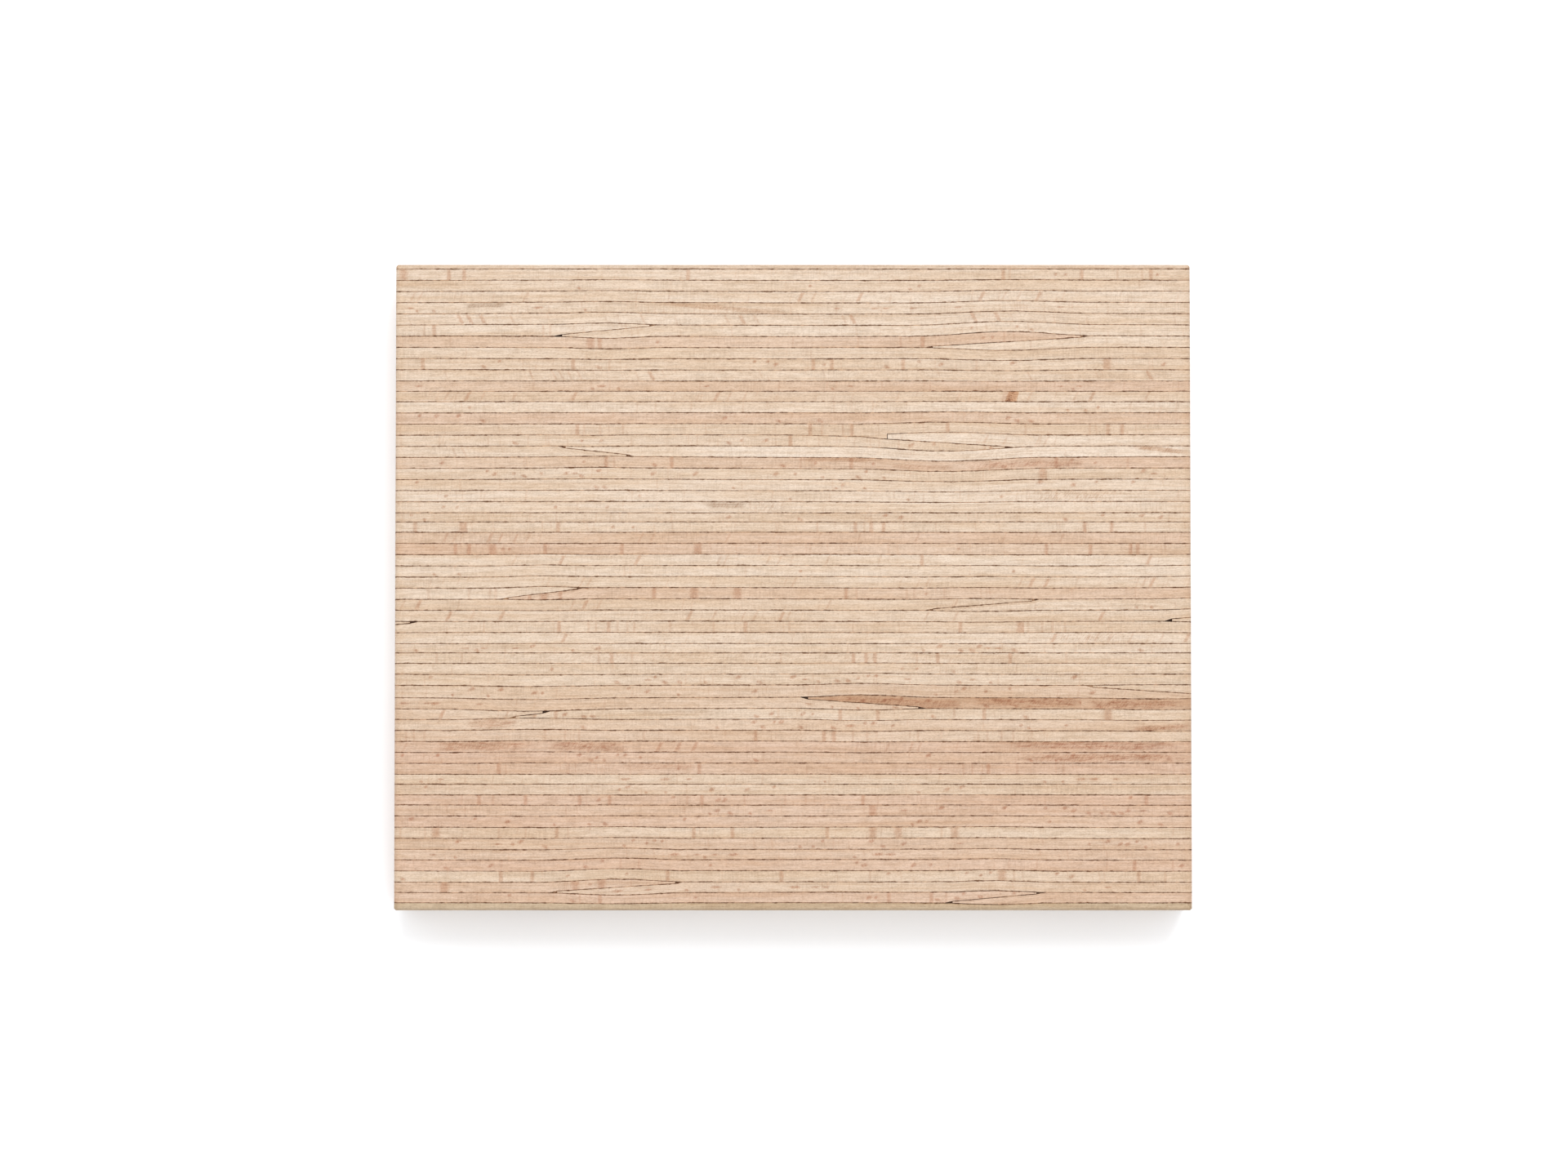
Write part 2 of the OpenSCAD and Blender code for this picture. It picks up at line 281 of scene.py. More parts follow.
class Bench:
    """Adds nodes to a tree one after another and joins them."""

    def __init__(self, tree):
        self.tree, self.count = tree, 0

    def add(self, kind, inputs=(), **settings):
        node = self.tree.nodes.new("ShaderNode" + kind)
        node.location = (self.count % 10 * 200, self.count // 10 * -320)
        self.count += 1
        for key, value in settings.items():
            setattr(node, key, value)
        for name, value in dict(inputs).items():
            if isinstance(value, bpy.types.NodeSocket):
                self.tree.links.new(value, node.inputs[name])
            else:
                node.inputs[name].default_value = value
        return node

    def math(self, operation, a, b=0.0, c=0.0, clamp=False):
        return self.add("Math", {0: a, 1: b, 2: c}, operation=operation, use_clamp=clamp).outputs[0]

    def scale(self, vector, x, y, z):
        """The vector with each part in units of its own size."""
        return self.add("VectorMath", {0: vector, 1: (1 / x, 1 / y, 1 / z)}, operation="MULTIPLY").outputs[0]

    def noise(self, vector, detail=1.0, roughness=0.5):
        return self.add("TexNoise", {"Vector": vector, "Scale": 1.0, "Detail": detail,
                                     "Roughness": roughness}).outputs["Fac"]

    def ramp(self, value, low, high, to_low=0.0, to_high=1.0):
        """A smooth step from one value to another."""
        return self.add("MapRange", {"Value": value, "From Min": low, "From Max": high,
                                     "To Min": to_low, "To Max": to_high},
                        interpolation_type="SMOOTHSTEP").outputs[0]

    def tint(self, base, mask, by):
        """The base colour multiplied by another one where the mask is."""
        node = self.add("Mix", data_type="RGBA", blend_type="MULTIPLY")
        self.join(node, ((0, mask), (6, base), (7, by)))
        return node.outputs[2]

    def mix(self, mask, a, b):
        node = self.add("Mix", data_type="RGBA")
        self.join(node, ((0, mask), (6, a), (7, b)))
        return node.outputs[2]

    def join(self, node, pairs):
        for index, value in pairs:
            if isinstance(value, bpy.types.NodeSocket):
                self.tree.links.new(value, node.inputs[index])
            else:
                flat = node.inputs[index].type == "RGBA" and len(value) == 3
                node.inputs[index].default_value = (*value, 1) if flat else value

    def split(self, vector):
        return self.add("SeparateXYZ", {0: vector}).outputs

    def attribute(self, name):
        return self.add("Attribute", attribute_name=name, attribute_type="GEOMETRY").outputs

    def group(self, name, **inputs):
        node = self.add("Group", node_tree=bpy.data.node_groups[name])
        for key, value in inputs.items():
            self.join(node, ((key, value),))
        return node.outputs


def effect(name, inputs, outputs):
    """An empty node group with named sockets, and a bench to fill it on."""
    tree = bpy.data.node_groups.new(name, "ShaderNodeTree")
    kinds = {"vector": "NodeSocketVector", "value": "NodeSocketFloat", "colour": "NodeSocketColor"}
    for socket, kind in inputs:
        tree.interface.new_socket(socket, in_out="INPUT", socket_type=kinds[kind])
    for socket, kind in outputs:
        tree.interface.new_socket(socket, in_out="OUTPUT", socket_type=kinds[kind])
    bench = Bench(tree)
    return bench, tree.nodes.new("NodeGroupInput").outputs, tree.nodes.new("NodeGroupOutput").inputs


def make_effects():
    """The node groups that the panel's finishes share. Every grain coordinate is in millimetres:
    along the grain, through the veneer and down its breadth."""
    b, given, out = effect("Veneer Tone", [("Tone", "colour"), ("Grain", "vector")], [("Color", "colour")])
    drift = b.noise(b.scale(given["Grain"], 38, 2.6, 14), 2.0)
    mottle = b.noise(b.scale(given["Grain"], 3.2, 1.1, 2.4), 2.0, 0.6)
    rings = b.noise(b.scale(given["Grain"], 90, 0.55, 5), 1.5, 0.6)
    tone = b.tint(given["Tone"], b.ramp(drift, 0.35, 0.7), (0.94, 0.89, 0.83))
    tone = b.tint(tone, b.ramp(mottle, 0.38, 0.7), (0.93, 0.9, 0.865))
    tone = b.tint(tone, b.ramp(rings, 0.46, 0.66), (0.925, 0.89, 0.855))
    b.tree.links.new(tone, out["Color"])

    b, given, out = effect("Fibre Lines", [("Grain", "vector")],
                           [("Lines", "value"), ("Pores", "value"), ("Speckle", "value")])
    lines = b.noise(b.scale(given["Grain"], 6, 0.34, 0.34), 2.0, 0.65)
    pores = b.add("TexVoronoi", {"Vector": b.scale(given["Grain"], 1.3, 0.15, 0.15), "Scale": 1.0}).outputs
    b.tree.links.new(b.ramp(lines, 0.35, 0.75), out["Lines"])
    dots = b.ramp(pores["Distance"], 0.36, 0.12)
    kept = b.ramp(b.split(pores["Color"])[0], 0.45, 0.75)
    b.tree.links.new(b.math("MULTIPLY", dots, kept), out["Pores"])
    coarse = b.noise(b.scale(given["Grain"], 0.62, 0.3, 0.35), 3.0, 0.72)
    ticks = b.noise(b.scale(given["Grain"], 0.34, 3.6, 0.6), 1.0)
    some = b.ramp(b.noise(b.scale(given["Grain"], 13, 3, 6), 1.0), 0.42, 0.62)
    ticks = b.math("MULTIPLY", b.math("MULTIPLY", b.ramp(ticks, 0.42, 0.66), some), 0.55)
    b.tree.links.new(b.math("ADD", b.ramp(coarse, 0.38, 0.68), ticks), out["Speckle"])

    b, given, out = effect("Ray Flecks", [("Grain", "vector"), ("Figure", "vector")], [("Flecks", "value")])
    lean, density, _ = b.split(given["Figure"])
    along, through, down = b.split(given["Grain"])
    leaned = b.math("MULTIPLY_ADD", through, lean, along)
    wander = b.noise(b.scale(given["Grain"], 0.6, 1.2, 0.8), 1.0)
    leaned = b.math("MULTIPLY_ADD", wander, 0.5, leaned)
    place = b.add("CombineXYZ", {0: leaned, 1: through, 2: down}).outputs[0]
    cells = b.add("TexVoronoi", {"Vector": b.scale(place, 0.8, 6.5, 0.5), "Scale": 1.0}).outputs
    chance, size, _ = b.split(cells["Color"])
    radius = b.math("MULTIPLY_ADD", size, 0.22, 0.14)
    body = b.ramp(b.math("SUBTRACT", cells["Distance"], radius), 0.12, -0.06)
    kept = b.ramp(b.math("ADD", chance, density), 0.95, 1.05)
    b.tree.links.new(b.math("MULTIPLY", body, kept), out["Flecks"])

    b, given, out = effect("Placed Figure", [("Mark", "vector"), ("Grain", "vector")],
                           [("Bars", "value"), ("Spots", "value")])
    along, across, kind = b.split(given["Mark"])
    wobble = b.math("SUBTRACT", b.noise(b.scale(given["Grain"], 0.55, 0.45, 0.5), 2.0, 0.7), 0.5)
    rough = b.math("SUBTRACT", b.noise(b.scale(given["Grain"], 0.3, 0.7, 0.4), 1.0), 0.5)
    u = b.math("ABSOLUTE", b.math("MULTIPLY_ADD", wobble, 1.2, along))
    v = b.math("ABSOLUTE", b.math("MULTIPLY_ADD", rough, 0.9, across))
    patchy = b.ramp(b.noise(b.scale(given["Grain"], 0.45, 0.8, 0.5), 2.0, 0.6), 0.3, 0.65, 0.45, 1.0)
    bar = b.math("MULTIPLY", b.math("MULTIPLY", b.ramp(u, 1.7, 0.35), b.ramp(v, 1.1, 0.7)),
                 b.math("MULTIPLY_ADD", patchy, 0.6, 0.4))
    round_u = b.math("MULTIPLY_ADD", wobble, 1.3, along)
    round_v = b.math("MULTIPLY_ADD", rough, 1.1, across)
    squares = [b.math("MULTIPLY", part, part) for part in (round_u, round_v)]
    spread = b.math("SQRT", b.math("ADD", *squares))
    spot = b.math("MULTIPLY", b.ramp(spread, 1.45, 0.35), patchy)
    is_spot = b.math("GREATER_THAN", kind, 1.0)
    strength = b.math("SUBTRACT", kind, is_spot)
    b.tree.links.new(b.math("MULTIPLY", b.math("MULTIPLY", bar, strength),
                            b.math("SUBTRACT", 1.0, is_spot)), out["Bars"])
    b.tree.links.new(b.math("MULTIPLY", b.math("MULTIPLY", spot, strength), is_spot), out["Spots"])

    b, given, out = effect("Resin Beads", [("Place", "vector")], [("Dark", "value"), ("Whole", "value")])
    millimetres = b.scale(given["Place"], MM, MM, MM)
    beads = b.noise(b.scale(millimetres, 1.7, 1.7, 1.8), 4.0, 0.68)
    runs = b.noise(b.scale(millimetres, 14, 1.9, 9), 2.0)
    dark = b.math("ADD", b.math("MULTIPLY", beads, 0.8), b.math("MULTIPLY", runs, 0.33))
    b.tree.links.new(b.ramp(dark, 0.495, 0.725), out["Dark"])
    b.tree.links.new(b.ramp(dark, 0.36, 0.6), out["Whole"])

    b, given, out = effect("Resin Stain", [("Edges", "vector"), ("Place", "vector")], [("Stain", "value")])
    behind, before, _ = b.split(given["Edges"])
    sway = b.math("SUBTRACT", b.noise(b.scale(given["Place"], 0.004, 0.003, 0.004), 2.0), 0.5)
    nearest = b.math("MINIMUM", b.math("MULTIPLY_ADD", sway, 0.5, behind),
                     b.math("MULTIPLY_ADD", sway, -0.5, before))
    ragged = b.noise(b.scale(given["Place"], 0.0011, 0.0006, 0.0009), 2.0)
    beads = b.group("Resin Beads", Place=given["Place"])
    nearest = b.math("MULTIPLY_ADD", ragged, 0.2, nearest)
    nearest = b.math("MULTIPLY_ADD", beads["Dark"], -0.12, nearest)
    b.tree.links.new(b.math("MULTIPLY", b.ramp(nearest, 0.16, 0.04),
                            b.math("MULTIPLY_ADD", beads["Dark"], 0.85, 0.15)), out["Stain"])

    # Ends: warmer, darker wood near the panel's two ends, worn there. Arris: a band along every rim that the
    # finishes darken as painted shade where the rounded arris turns from the light; the sanded long grain is
    # also less rough there, as wear.
    b, given, out = effect("Worn Arris", [("Place", "vector"), ("Grain", "vector")],
                           [("Ends", "value"), ("Arris", "value")])
    x, y, z = b.split(b.scale(given["Place"], MM, MM, MM))
    low, high = (np.array(corner) * 1000 for corner in CAD_BOX)
    ragged = b.math("MULTIPLY", b.noise(b.scale(given["Grain"], 1.4, 0.9, 0.9), 2.0), 1.6)
    from_end = b.math("SUBTRACT", float(high[0]), b.math("ABSOLUTE", x))
    b.tree.links.new(b.ramp(b.math("SUBTRACT", from_end, ragged), 2.4, -0.6), out["Ends"])
    middle = float(low[2] + high[2]) / 2
    height = b.math("ABSOLUTE", b.math("SUBTRACT", z, middle))
    from_face = b.math("SUBTRACT", float(high[2]) - middle, height)
    from_side = b.math("SUBTRACT", float(high[1]), b.math("ABSOLUTE", y))
    from_rim = b.math("MINIMUM", from_end, from_side)
    # The arris band, within about a millimetre of the faces and rims: the mask for painted shade along the
    # rounded arris
    edge = b.math("ADD", from_rim, from_face)
    b.tree.links.new(b.ramp(b.math("MULTIPLY_ADD", ragged, 0.18, edge), 1.25, 0.55), out["Arris"])


def finish_material(name, build, gloss):
    """A material whose Principled shader is fed by what build returns: colour, roughness, height."""
    material = bpy.data.materials.new(name)
    material.use_nodes = True
    bench = Bench(material.node_tree)
    shader = next(n for n in material.node_tree.nodes if n.type == "BSDF_PRINCIPLED")
    tint, rough, height, relief = build(bench)
    bump = bench.add("Bump", {"Strength": 1.0, "Distance": relief, "Height": height})
    bench.join(shader, (("Base Color", tint), ("Roughness", rough), ("Normal", bump.outputs[0]),
                        ("Specular IOR Level", gloss)))
    return material


def long_grain(b):
    """Planed and sanded beech, seen along the grain."""
    wood, resin = bpy.context.scene.beech_wood, bpy.context.scene.hard_resin
    place = b.add("TexCoord").outputs["Object"]
    grain, figure = b.attribute("grain")["Vector"], b.attribute("figure")["Vector"]
    lines = b.group("Fibre Lines", Grain=grain)
    flecks = b.group("Ray Flecks", Grain=grain, Figure=figure)["Flecks"]
    placed = b.group("Placed Figure", Mark=b.attribute("mark")["Vector"], Grain=grain)
    worn = b.group("Worn Arris", Place=place, Grain=grain)
    tone = b.group("Veneer Tone", Tone=b.attribute("tone")["Color"], Grain=grain)["Color"]
    tone = streaks(b, tone, grain)
    tone = b.tint(tone, lines["Lines"], (0.84, 0.83, 0.82))
    tone = b.tint(tone, lines["Speckle"], (0.83, 0.815, 0.8))
    tone = b.tint(tone, b.math("MULTIPLY", flecks, 0.22), tuple(wood.bar_tint))
    tone = b.tint(tone, placed["Bars"], tuple(wood.bar_tint))
    tone = b.tint(tone, placed["Spots"], tuple(wood.spot_tint))
    tone = knot(b, tone, grain)
    tone = b.tint(tone, b.math("MULTIPLY", lines["Pores"], 0.4), (0.76, 0.66, 0.57))
    stain = b.group("Resin Stain", Edges=b.attribute("edges")["Vector"], Place=place)["Stain"]
    tone = b.tint(tone, stain, tuple(resin.stain))
    tone = b.tint(tone, b.math("MULTIPLY", worn["Ends"], 0.5), (0.94, 0.88, 0.8))
    # Painted shade: the wood is darkened along the rounded arris; the roughness below is lowered there as
    # wear
    tone = b.tint(tone, worn["Arris"], (0.93, 0.93, 0.94))
    rough = b.math("MULTIPLY_ADD", lines["Lines"], 0.12, wood.roughness)
    rough = b.math("MULTIPLY_ADD", worn["Arris"], -0.12, rough)
    height = b.math("MULTIPLY_ADD", lines["Pores"], -0.9, lines["Lines"])
    height = b.math("MULTIPLY_ADD", placed["Bars"], 0.35, height)
    return tone, rough, height, wood.grain_height


def streaks(b, tone, grain):
    """Heartwood, mineral stain and fine ray hatching in the veneers that have them."""
    along, across, kind = b.split(b.attribute("streak")["Vector"])
    ragged = b.math("SUBTRACT", b.noise(b.scale(grain, 9, 0.7, 3), 3.0, 0.65), 0.5)
    loose = b.math("SUBTRACT", b.noise(b.scale(grain, 4, 1.0, 3), 2.0), 0.5)
    u = b.math("ABSOLUTE", b.math("MULTIPLY_ADD", loose, 0.5, along))
    v = b.math("ABSOLUTE", b.math("MULTIPLY_ADD", ragged, 1.7, across))
    which = b.math("FLOOR", kind)
    inside = b.math("MULTIPLY", b.ramp(u, 1.0, 0.5), b.ramp(v, 1.15, 0.3))
    inside = b.math("MULTIPLY", inside, b.math("SUBTRACT", kind, which))
    bands = b.ramp(b.noise(b.scale(grain, 6, 0.35, 3), 3.0, 0.7), 0.3, 0.68, 0.45, 1.0)

    run, through, down = b.split(grain)
    slant = b.math("MULTIPLY_ADD", through, 0.65, run)
    leaned = b.add("CombineXYZ", {0: slant, 1: through, 2: down}).outputs[0]
    patches = b.ramp(b.noise(b.scale(leaned, 2.6, 0.8, 3), 3.0, 0.65), 0.46, 0.66)
    hatching = b.ramp(b.noise(b.scale(leaned, 0.34, 1.3, 0.5), 2.0, 0.6), 0.47, 0.62)
    is_kind = [b.math("COMPARE", which, float(number), 0.3) for number in range(len(STREAK_KINDS))]
    for number, by in enumerate(((0.73, 0.57, 0.45), (0.83, 0.69, 0.6), (0.64, 0.57, 0.51))):
        mask = b.math("MULTIPLY", b.math("MULTIPLY", inside, bands), is_kind[number])
        tone = b.tint(tone, mask, by)
    heart = b.math("MULTIPLY", inside, is_kind[STREAK_KINDS["heart"]])
    tone = b.tint(tone, b.math("MULTIPLY", heart, patches), (0.68, 0.5, 0.41))
    share = b.math("MULTIPLY_ADD", is_kind[STREAK_KINDS["hatch"]], 0.2, 0.7)
    return b.tint(tone, b.math("MULTIPLY", b.math("MULTIPLY", inside, hatching), share), (0.7, 0.57, 0.48))


def knot(b, tone, grain):
    """A pin knot across one veneer: rosy wood beside it, brown in it, dark veins, a scrap of bark."""
    along, across, _ = b.split(b.attribute("knot")["Vector"])
    ragged = b.math("SUBTRACT", b.noise(b.scale(grain, 0.8, 0.7, 0.9), 3.0, 0.6), 0.5)
    reach = b.math("MAXIMUM", b.math("ABSOLUTE", along), b.math("ABSOLUTE", across))
    core = b.ramp(b.math("MULTIPLY_ADD", ragged, 0.8, reach), 1.05, 0.75)
    beside = b.math("MULTIPLY_ADD", ragged, 1.2, b.math("ABSOLUTE", b.math("ADD", along, 0.55)))
    near = b.math("LESS_THAN", b.math("ABSOLUTE", across), 2.0)
    beside = b.math("MULTIPLY", b.ramp(beside, 1.6, 0.8), near)
    short_grain = b.ramp(b.math("MULTIPLY_ADD", ragged, 0.8, along), 0.3, 0.0, 0.25, 1.0)
    veins = b.ramp(b.noise(b.scale(grain, 0.42, 0.38, 0.5), 3.0, 0.7), 0.48, 0.58)
    bark = b.math("ADD", b.math("ABSOLUTE", b.math("ADD", along, 0.42)),
                  b.math("ABSOLUTE", b.math("SUBTRACT", across, 0.72)))
    tone = b.tint(tone, beside, (0.92, 0.84, 0.81))
    tone = b.tint(tone, core, (0.87, 0.7, 0.56))
    tone = b.tint(tone, b.math("MULTIPLY", b.math("MULTIPLY", core, veins), short_grain), (0.58, 0.46, 0.38))
    return b.tint(tone, b.ramp(b.math("MULTIPLY_ADD", ragged, 0.6, bark), 0.5, 0.2), (0.5, 0.38, 0.3))


def end_grain(b):
    """Sawn and sanded beech, seen on the ends of the fibres."""
    wood, resin = bpy.context.scene.beech_wood, bpy.context.scene.hard_resin
    place = b.add("TexCoord").outputs["Object"]
    grain, figure = b.attribute("grain")["Vector"], b.attribute("figure")["Vector"]
    worn = b.group("Worn Arris", Place=place, Grain=grain)
    tone = b.group("Veneer Tone", Tone=b.attribute("tone")["Color"], Grain=grain)["Color"]
    rings = b.noise(b.scale(grain, 9, 0.5, 6), 2.0, 0.55)
    cells = b.add("TexVoronoi", {"Vector": b.scale(grain, 0.6, 0.13, 0.13), "Scale": 1.0}).outputs
    pores = b.math("MULTIPLY", b.ramp(cells["Distance"], 0.42, 0.2),
                   b.ramp(b.split(cells["Color"])[0], 0.3, 0.5))
    rays = b.ramp(b.noise(b.scale(grain, 2, 4.5, 0.22), 2.0), 0.5, 0.7)
    tone = b.tint(tone, 1.0, (0.9, 0.82, 0.74))
    tone = b.tint(tone, b.ramp(rings, 0.42, 0.66), (0.88, 0.8, 0.72))
    tone = b.tint(tone, b.math("MULTIPLY", rays, 0.6), (0.84, 0.74, 0.64))
    tone = b.tint(tone, b.math("MULTIPLY", pores, 0.55), (0.6, 0.48, 0.38))
    flecks = b.group("Ray Flecks", Grain=grain, Figure=figure)["Flecks"]
    tone = b.tint(tone, b.math("MULTIPLY", flecks, 0.4), tuple(wood.bar_tint))
    stain = b.group("Resin Stain", Edges=b.attribute("edges")["Vector"], Place=place)["Stain"]
    tone = b.tint(tone, stain, tuple(resin.stain))
    # Painted shade: the end grain is darkened along the rounded arris
    tone = b.tint(tone, worn["Arris"], (0.9, 0.83, 0.76))
    rough = b.math("MULTIPLY_ADD", rings, 0.1, wood.roughness + 0.05)
    height = b.math("MULTIPLY_ADD", pores, -1.0, b.math("MULTIPLY", rays, 0.4))
    return tone, rough, height, wood.grain_height


def face_grain(b):
    """The flat face of an outer veneer: soft ring figure and the small brown spindles of the rays."""
    wood = bpy.context.scene.beech_wood
    place = b.add("TexCoord").outputs["Object"]
    grain = b.attribute("grain")["Vector"]
    lines = b.group("Fibre Lines", Grain=grain)
    worn = b.group("Worn Arris", Place=place, Grain=grain)
    tone = b.group("Veneer Tone", Tone=b.attribute("tone")["Color"], Grain=grain)["Color"]
    bend = b.noise(b.scale(grain, 70, 30, 16), 1.0)
    run, through, down = b.split(grain)
    bent = b.add("CombineXYZ", {0: run, 1: through, 2: b.math("MULTIPLY_ADD", bend, 26, down)}).outputs[0]
    rings = b.noise(b.scale(bent, 80, 30, 1.5), 2.0, 0.6)
    cells = b.add("TexVoronoi", {"Vector": b.scale(grain, 2.2, 30, 0.5), "Scale": 1.0}).outputs
    chance, size, _ = b.split(cells["Color"])
    reach = b.math("MULTIPLY_ADD", size, 0.16, 0.12)
    spindles = b.ramp(b.math("SUBTRACT", cells["Distance"], reach), 0.1, -0.05)
    spindles = b.math("MULTIPLY", spindles, b.ramp(chance, 0.15, 0.6, 0.25, 1.0))
    tone = b.tint(tone, 1.0, (1.0, 0.965, 0.9))
    tone = b.tint(tone, b.ramp(rings, 0.4, 0.66), (0.84, 0.77, 0.7))
    tone = b.tint(tone, lines["Lines"], (0.86, 0.84, 0.82))
    tone = b.tint(tone, b.math("MULTIPLY", lines["Pores"], 0.5), (0.76, 0.66, 0.57))
    tone = b.tint(tone, b.math("MULTIPLY", spindles, 0.65), tuple(wood.spot_tint))
    tone = b.tint(tone, worn["Ends"], (0.94, 0.88, 0.8))
    # Painted shade: the face is darkened along the rounded arris
    tone = b.tint(tone, worn["Arris"], (0.93, 0.93, 0.94))
    rough = b.math("MULTIPLY_ADD", lines["Lines"], 0.12, wood.roughness)
    height = b.math("MULTIPLY_ADD", spindles, -0.5, lines["Lines"])
    return tone, rough, height, wood.grain_height


def hard_resin(b):
    """Resin that set between the veneers: beaded and amber where thin, near black where thick."""
    resin = bpy.context.scene.hard_resin
    place = b.add("TexCoord").outputs["Object"]
    millimetres = b.scale(place, MM, MM, MM)
    beads = b.group("Resin Beads", Place=place)
    worn = b.group("Worn Arris", Place=place, Grain=millimetres)
    pool = b.ramp(b.attribute("pool")["Fac"], 0.15, 0.7)
    speckle = b.noise(b.scale(millimetres, 0.25, 0.25, 0.25), 2.0, 0.6)
    tone = b.mix(beads["Whole"], tuple(resin.thin), tuple(resin.film))
    tone = b.tint(tone, beads["Dark"], (0.3, 0.22, 0.17))
    tone = b.tint(tone, b.ramp(speckle, 0.45, 0.7), (0.84, 0.78, 0.72))
    tone = b.tint(tone, worn["Ends"], (0.86, 0.76, 0.66))
    tone = b.mix(pool, tone, b.tint(tuple(resin.pool), speckle, (0.7, 0.66, 0.62)))
    rough = b.math("MULTIPLY_ADD", pool, -0.2, b.math("MULTIPLY_ADD", speckle, 0.2, 0.48))
    height = b.math("MULTIPLY_ADD", beads["Dark"], -0.5, b.math("MULTIPLY", speckle, 0.5))
    return tone, rough, height, 0.00002


# ------------------------------------------------------------------------------ shaping pieces


def only(piece):
    """Leaves just this piece selected."""
    bpy.ops.object.select_all(action="DESELECT")
    piece.select_set(True)
    bpy.context.view_layer.objects.active = piece


def own_copy(node, name):
    """The node's solids as a piece of their own, merged, with their broken arrises rounded."""
    piece = frame["nodes"][node].copy()
    piece.data = piece.data.copy()
    piece.parent = None
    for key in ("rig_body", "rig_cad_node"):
        if key in piece:
            del piece[key]
    piece.name = piece.data.name = name
    bpy.context.scene.collection.objects.link(piece)
    piece.data.materials.clear()
    while piece.data.uv_layers:
        piece.data.uv_layers.remove(piece.data.uv_layers[0])
    only(piece)
    bpy.ops.object.mode_set(mode="EDIT")
    bpy.ops.mesh.select_all(action="SELECT")
    bpy.ops.mesh.remove_doubles(threshold=1e-6)
    bpy.ops.mesh.dissolve_limited(angle_limit=0.001)
    round_corners(piece)
    mesh = bmesh.from_edit_mesh(piece.data)
    bpy.ops.mesh.select_all(action="DESELECT")
    bpy.ops.mesh.select_mode(type="EDGE")
    for edge in mesh.edges:
        if len(edge.link_faces) == 2:
            slopes = sorted(abs(face.normal.z) for face in edge.link_faces)
            chamfers = [0.6 < slope < 0.8 for slope in slopes]
            sharp = chamfers.count(True) == 1 and edge.calc_face_angle(0) > 0.6
            if sharp and (slopes[1] > 0.99 or outer_face(edge)):
                edge.select_set(True)
    bmesh.update_edit_mesh(piece.data)
    bpy.ops.mesh.bevel(offset=bpy.context.scene.panel_shape.arris, segments=2, affect="EDGES")
    bpy.ops.object.mode_set(mode="OBJECT")
    return piece


def round_corners(piece):
    """Rounds those of the panel's four upright corners that the piece has."""
    mesh = bmesh.from_edit_mesh(piece.data)
    bpy.ops.mesh.select_all(action="DESELECT")
    bpy.ops.mesh.select_mode(type="EDGE")
    for edge in mesh.edges:
        off = [[abs(abs(v.co[i]) - CAD_BOX[1][i]) for i in (0, 1)] for v in edge.verts]
        at_corner = max(max(pair) for pair in off) < 0.001
        even = max(abs(pair[0] - pair[1]) for pair in off) < 1e-5
        if at_corner and even and abs(edge.verts[0].co.z - edge.verts[1].co.z) > 1e-4:
            edge.select_set(True)
    bmesh.update_edit_mesh(piece.data)
    if any(edge.select for edge in mesh.edges):
        bpy.ops.mesh.bevel(offset=bpy.context.scene.panel_shape.corner, segments=4, affect="EDGES")


def outer_face(edge):
    """Whether the upright face beside an arris is one of the panel's own sides."""
    upright = min(edge.link_faces, key=lambda face: abs(face.normal.z))
    place = upright.calc_center_median()
    for i in (0, 1):
        gap = min(abs(place[i] - corner[i]) for corner in CAD_BOX)
        if abs(upright.normal[i]) > 0.99 and gap < 1e-5:
            return True
    return False


def cut_across(piece, places):
    """Cuts a piece's faces at these places along the grain."""
    only(piece)
    bpy.ops.object.mode_set(mode="EDIT")
    for place in places:
        bpy.ops.mesh.select_all(action="SELECT")
        bpy.ops.mesh.bisect(plane_co=(place, 0, 0), plane_no=(1, 0, 0), threshold=1e-7)
    bpy.ops.object.mode_set(mode="OBJECT")


def stations():
    """Where every piece is cut across, in metres."""
    step = bpy.context.scene.panel_shape.station
    last = int((CAD_BOX[1][0] - 0.001) / step)
    return [step * i for i in range(-last, last + 1)]


def points(mesh):
    """A mesh's points in millimetres."""
    co = np.empty(len(mesh.vertices) * 3, np.float32)
    mesh.vertices.foreach_get("co", co)
    return co.reshape(-1, 3).astype(float) * 1000


def write(mesh, name, kind, domain, values):
    """Stores one attribute."""
    attribute = mesh.attributes.new(name, kind, domain)
    field = {"FLOAT": "value", "FLOAT_VECTOR": "vector", "FLOAT_COLOR": "color"}[kind]
    attribute.data.foreach_set(field, np.asarray(values, np.float32).ravel())


